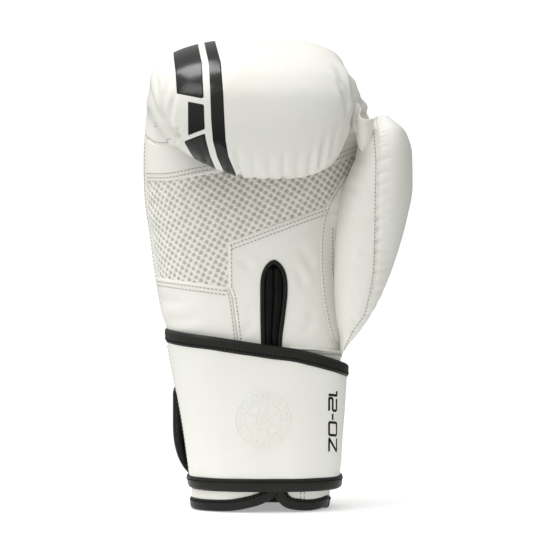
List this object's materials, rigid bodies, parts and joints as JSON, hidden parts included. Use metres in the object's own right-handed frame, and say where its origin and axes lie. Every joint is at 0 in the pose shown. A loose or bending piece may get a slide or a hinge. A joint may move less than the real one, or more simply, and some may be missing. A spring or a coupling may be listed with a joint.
{
  "type": "boxing glove",
  "caption": "Padded boxing glove for the right hand, standing on its cuff, with a rolled fist, mesh palm, tethered thumb, split cuff and a hook-and-loop wrist strap that unwraps.",
  "frame": {"origin": "middle of the overall box in X and Y, on the surface that the cuff stands on", "axes": "+Z from the cuff to the knuckles, -Y out of the palm, +X towards the thumb"},
  "size_m": [0.1714, 0.137, 0.3],
  "materials": {
    "white_leather": "matt grained synthetic leather",
    "black_leather": "satin synthetic leather binding",
    "white_mesh": "open spacer mesh",
    "foam": "layered padding foam",
    "black_lining": "smooth woven lining",
    "hook_tape": "hook tape",
    "loop_pile": "brushed loop pile"
  },
  "bodies": {
    "hand_body": {"knuckle_shell": "white_leather", "palm_top_band": "white_leather", "palm_mesh_panel": "white_mesh", "pinky_heel_panel": "white_leather", "palm_thumb_panel": "white_leather", "thumb_web_strip": "white_leather", "slit_binding": "black_leather", "slit_fold_pinky_side": "black_leather", "slit_fold_thumb_side": "black_leather", "back_of_hand_foam": "foam", "fist_foam": "foam", "palm_foam": "foam", "hand_lining": "black_lining", "grip_bar": "foam", "thumb_lock_strap": "white_leather", "cuff_back_panel": "white_leather", "cuff_back_foam": "foam", "cuff_back_lining": "black_lining", "cuff_back_binding": "black_leather", "strap_anchor": "white_leather", "hook_patch": "hook_tape"},
    "thumb": {"thumb_inner_panel": "white_leather", "thumb_padded_shell": "white_leather", "thumb_foam": "foam", "thumb_lining": "black_lining"},
    "cuff_pinky_flap": {"cuff_pinky_flap_panel": "white_leather", "cuff_pinky_flap_foam": "foam", "cuff_pinky_flap_lining": "black_lining", "cuff_pinky_flap_binding": "black_leather"},
    "cuff_thumb_flap": {"cuff_thumb_flap_panel": "white_leather", "cuff_thumb_flap_foam": "foam", "cuff_thumb_flap_lining": "black_lining", "cuff_thumb_flap_binding": "black_leather"},
    "strap_front": {"strap_front_panel": "white_leather", "strap_front_lining": "black_lining", "strap_front_upper_binding": "black_leather", "strap_front_lower_binding": "black_leather", "strap_medallion": "white_leather"},
    "strap_side": {"strap_side_panel": "white_leather", "strap_side_lining": "black_lining", "strap_side_upper_binding": "black_leather", "strap_side_lower_binding": "black_leather"},
    "strap_back": {"strap_back_panel": "white_leather", "strap_back_lining": "black_lining", "strap_back_upper_binding": "black_leather", "strap_back_lower_binding": "black_leather"},
    "strap_tab": {"tab_panel": "white_leather", "tab_loop_patch": "loop_pile", "tab_binding": "black_leather"}
  },
  "joints": [
    {"name": "strap_unwrap", "type": "hinge", "parent": "hand_body", "child": "strap_front", "pos_m": [-0.06316, -0.00273, 0.018], "axis": [0.0871, 0.012, -0.9961], "range_deg": [0, 48]},
    {"name": "strap_side_fold", "type": "hinge", "parent": "strap_front", "child": "strap_side", "pos_m": [0.0399, -0.0145, 0.018], "axis": [-0.0454, 0.0182, -0.9988], "range_deg": [0, 72]},
    {"name": "strap_back_fold", "type": "hinge", "parent": "strap_side", "child": "strap_back", "pos_m": [0.0298, 0.037, 0.018], "axis": [-0.0485, -0.0402, -0.998], "range_deg": [0, 72]},
    {"name": "tab_peel", "type": "hinge", "parent": "strap_back", "child": "strap_tab", "pos_m": [-0.0447, 0.0356, 0.019], "axis": [0.0842, -0.0691, -0.9941], "range_deg": [0, 60]},
    {"name": "cuff_pinky_flap_open", "type": "hinge", "parent": "hand_body", "child": "cuff_pinky_flap", "pos_m": [-0.0546, -0.00075, 0.003], "axis": [0.0899, 0, -0.996], "range_deg": [0, 12]},
    {"name": "cuff_thumb_flap_open", "type": "hinge", "parent": "hand_body", "child": "cuff_thumb_flap", "pos_m": [0.0363, -0.00075, 0.003], "axis": [0.0622, 0, 0.9981], "range_deg": [0, 12]},
    {"name": "thumb_flex", "type": "hinge", "parent": "hand_body", "child": "thumb", "pos_m": [0.0417, -0.0165, 0.101], "axis": [0, 1, 0], "range_deg": [0, 6], "stiffness_Nm_per_rad": 2, "deforming": ["thumb_lock_strap"]}
  ],
  "couplings": [
    {"joint": "strap_side_fold", "follows": "strap_unwrap", "ratio": 1.5},
    {"joint": "strap_back_fold", "follows": "strap_unwrap", "ratio": 1.5},
    {"joint": "cuff_pinky_flap_open", "follows": "strap_unwrap", "ratio": 0.2},
    {"joint": "cuff_thumb_flap_open", "follows": "strap_unwrap", "ratio": 0.2}
  ]
}
